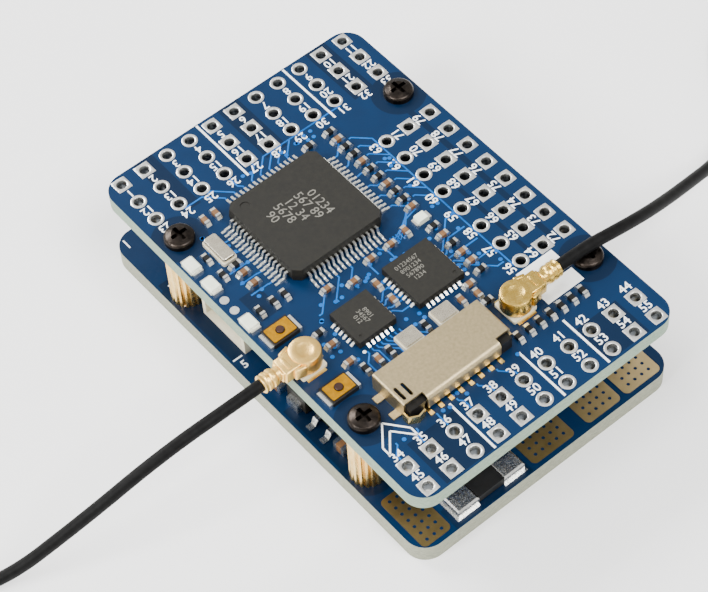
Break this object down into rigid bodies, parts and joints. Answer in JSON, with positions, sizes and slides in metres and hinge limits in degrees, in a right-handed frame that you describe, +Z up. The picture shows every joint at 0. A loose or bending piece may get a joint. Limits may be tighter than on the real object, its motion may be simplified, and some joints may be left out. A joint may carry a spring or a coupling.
{
  "type": "flight controller board",
  "caption": "Two-board flight controller stack on knurled pillars, with processor, card socket, servo pad grid, push buttons and coiled coaxial antenna leads.",
  "frame": {"origin": "centre of the underside of the power board, on the surface it stands on", "axes": "+Z up through both boards, +Y towards the front edge with three pad rows, +X towards the servo pad grid"},
  "size_m": [0.1224, 0.0518, 0.0124],
  "materials": {
    "solder_mask": "semi-gloss blue solder mask over copper",
    "power_board_mask": "semi-gloss blue solder mask with a grey glass-fibre edge",
    "pillar_brass": "knurled bare brass",
    "black_screw": "black oxide steel",
    "tinned_pad": "tinned copper",
    "tinned_lead": "tin-plated leads and solder",
    "chip_moulding": "matt moulding compound",
    "socket_steel": "warm satin stainless sheet",
    "black_plastic": "black glass-filled plastic",
    "gold_contact": "gold-plated contacts",
    "ceramic": "pale ceramic package",
    "crystal_can": "nickel-plated lid",
    "led_moulding": "milky lens moulding",
    "resistor_body": "glazed resistor",
    "capacitor_body": "brown ceramic",
    "button_gold": "gold-tone cover plate",
    "plunger_plastic": "dark plunger",
    "spring_steel": "stainless snap dome",
    "ivory_plastic": "ivory high-temperature plastic",
    "pale_gold_plug": "pale gold plating",
    "deep_gold_plug": "gold plating",
    "coax_jacket": "matt black cable jacket",
    "sleeve_shrink": "black heat-shrink",
    "gold_pad": "gold-plated power pads",
    "shunt_body": "black coated resistor",
    "shunt_metal": "tinned copper ends",
    "choke_body": "pressed iron powder"
  },
  "bodies": {
    "stack": {"antenna_socket_bases": "ivory_plastic", "antenna_socket_contacts": "gold_contact", "barometer": "crystal_can", "bind_button_cover": "button_gold", "bind_button_dome": "spring_steel", "bind_button_housing": "black_plastic", "boot_button_cover": "button_gold", "boot_button_dome": "spring_steel", "boot_button_housing": "black_plastic", "button_terminals": "tinned_lead", "card_contacts": "gold_contact", "card_detect_spring": "gold_contact", "card_housing": "black_plastic", "card_shell": "socket_steel", "chokes": "choke_body", "crystal_bases": "ceramic", "crystal_lids": "crystal_can", "front_pads": "tinned_pad", "inner_chips": "chip_moulding", "inner_terminals": "tinned_lead", "led_bodies": "led_moulding", "led_terminals": "tinned_lead", "left_antenna": "sleeve_shrink", "left_coax": "coax_jacket", "left_coax_coil": "coax_jacket", "left_plug": "pale_gold_plug", "left_plug_core": "ivory_plastic", "link_header": "black_plastic", "link_pins": "gold_contact", "link_socket": "black_plastic", "lower_board": "power_board_mask", "lower_capacitors": "capacitor_body", "mcu_body": "chip_moulding", "mcu_leads": "tinned_lead", "pillar_screws": "black_screw", "pillars": "pillar_brass", "power_pads": "gold_pad", "radio_body": "chip_moulding", "radio_terminals": "tinned_lead", "rear_pads": "tinned_pad", "right_antenna": "sleeve_shrink", "right_coax": "coax_jacket", "right_coax_coil": "coax_jacket", "right_plug": "deep_gold_plug", "right_plug_core": "ivory_plastic", "servo_pads": "tinned_pad", "shunt_body": "shunt_body", "shunt_terminals": "shunt_metal", "side_connector_contacts": "tinned_lead", "side_connector_housing": "ivory_plastic", "test_pads": "tinned_pad", "transceiver_body": "chip_moulding", "transceiver_terminals": "tinned_lead", "upper_board": "solder_mask", "upper_capacitors": "capacitor_body", "upper_chip_ends": "tinned_lead", "upper_resistors": "resistor_body"},
    "boot_plunger": {"boot_button_plunger": "plunger_plastic"},
    "bind_plunger": {"bind_button_plunger": "plunger_plastic"}
  },
  "joints": [
    {"name": "boot_press", "type": "slide", "parent": "stack", "child": "boot_plunger", "axis": [0, 0, -1], "range_m": [0, 0.00015], "stiffness_N_per_m": 2000, "deforming": ["boot_button_dome"]},
    {"name": "bind_press", "type": "slide", "parent": "stack", "child": "bind_plunger", "axis": [0, 0, -1], "range_m": [0, 0.00015], "stiffness_N_per_m": 2000, "deforming": ["bind_button_dome"]}
  ]
}
